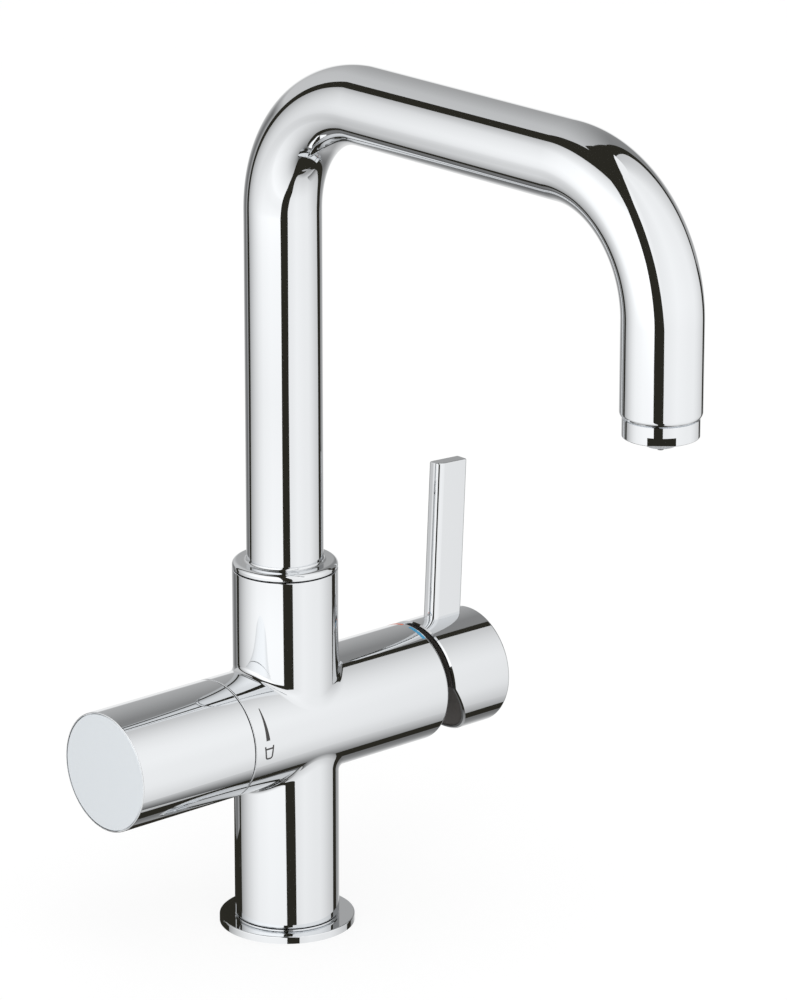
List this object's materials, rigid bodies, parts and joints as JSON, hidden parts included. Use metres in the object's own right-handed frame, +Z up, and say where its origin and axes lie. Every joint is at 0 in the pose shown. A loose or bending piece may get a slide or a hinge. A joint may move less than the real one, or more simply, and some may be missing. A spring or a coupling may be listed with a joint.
{
  "type": "sink mixer tap",
  "caption": "Deck-mounted kitchen tap: round column with a cross barrel, side lever, filtered-water knob and a swivelling bent tube spout with a double outlet.",
  "frame": {"origin": "centre of the foot's underside, on the worktop", "axes": "+Z up along the column, -Y towards the sink along the spout, +X towards the lever, -X towards the filtered water knob"},
  "size_m": [0.201, 0.2645, 0.3775],
  "materials": {
    "chrome": "polished",
    "satin_chrome": "satin",
    "brass": "satin",
    "steel": "satin",
    "ceramic": "polished",
    "pale_plastic": "matte",
    "dark_plastic": "satin",
    "nozzle_plastic": "satin",
    "pipe_plastic": "satin",
    "rubber": "matte"
  },
  "bodies": {
    "base": {"valve_body": "chrome", "base_flange": "chrome", "base_seal": "rubber", "cartridge_base": "pale_plastic", "cartridge_seals": "rubber", "cartridge_fixed_disc": "ceramic", "cartridge_housing": "pale_plastic", "retaining_nut": "brass", "cover_ring": "chrome", "headpart_body": "brass", "headpart_seal": "rubber", "headpart_fixed_disc": "ceramic", "stop_ring": "pale_plastic", "spout_stop_screw": "steel", "filter_nipple": "brass"},
    "spout": {"spout_tube": "chrome", "swivel_shank": "brass", "shank_o_rings": "rubber", "slide_ring_lower": "pale_plastic", "slide_ring_upper": "pale_plastic", "spout_ring": "chrome", "filter_pipe": "pipe_plastic", "outlet_bush": "brass", "aerator_housing": "chrome", "aerator_insert": "pale_plastic", "aerator_screen": "steel", "aerator_seal": "rubber", "filter_nozzle": "nozzle_plastic"},
    "temperature_rotor": {"cartridge_rotor": "pale_plastic", "tilt_pin": "steel"},
    "lever": {"lever_spindle": "steel", "lever_cap": "chrome", "lever_plate": "dark_plastic", "lever_bar": "chrome", "lever_stud": "steel", "grub_screw": "steel", "access_plug": "chrome"},
    "mixing_slide": {"disc_carrier": "pale_plastic", "cartridge_moving_disc": "ceramic"},
    "filter_knob": {"valve_spindle": "brass", "spindle_o_ring": "rubber", "headpart_moving_disc": "ceramic", "spindle_circlip": "steel", "knob_adaptor": "brass", "knob_shell": "chrome", "knob_screw": "steel", "knob_end_disc": "satin_chrome"}
  },
  "joints": [
    {"name": "spout_swivel", "type": "hinge", "parent": "base", "child": "spout", "pos_m": [0, 0, 0.137], "axis": [0, 0, 1], "range_deg": [-75, 75]},
    {"name": "temperature_turn", "type": "hinge", "parent": "base", "child": "temperature_rotor", "pos_m": [0.051, 0, 0.09], "axis": [1, 0, 0], "range_deg": [-50, 50]},
    {"name": "lever_tilt", "type": "hinge", "parent": "temperature_rotor", "child": "lever", "pos_m": [0.051, 0, 0.09], "axis": [0, 1, 0], "range_deg": [0, 25]},
    {"name": "mixing_slide_travel", "type": "slide", "parent": "temperature_rotor", "child": "mixing_slide", "axis": [0, 0, 1], "range_m": [0, 0.0045]},
    {"name": "filter_knob_turn", "type": "hinge", "parent": "base", "child": "filter_knob", "pos_m": [-0.06, 0, 0.09], "axis": [1, 0, 0], "range_deg": [0, 90]}
  ],
  "couplings": [
    {"joint": "mixing_slide_travel", "follows": "lever_tilt", "m_per_rad": 0.01024}
  ]
}
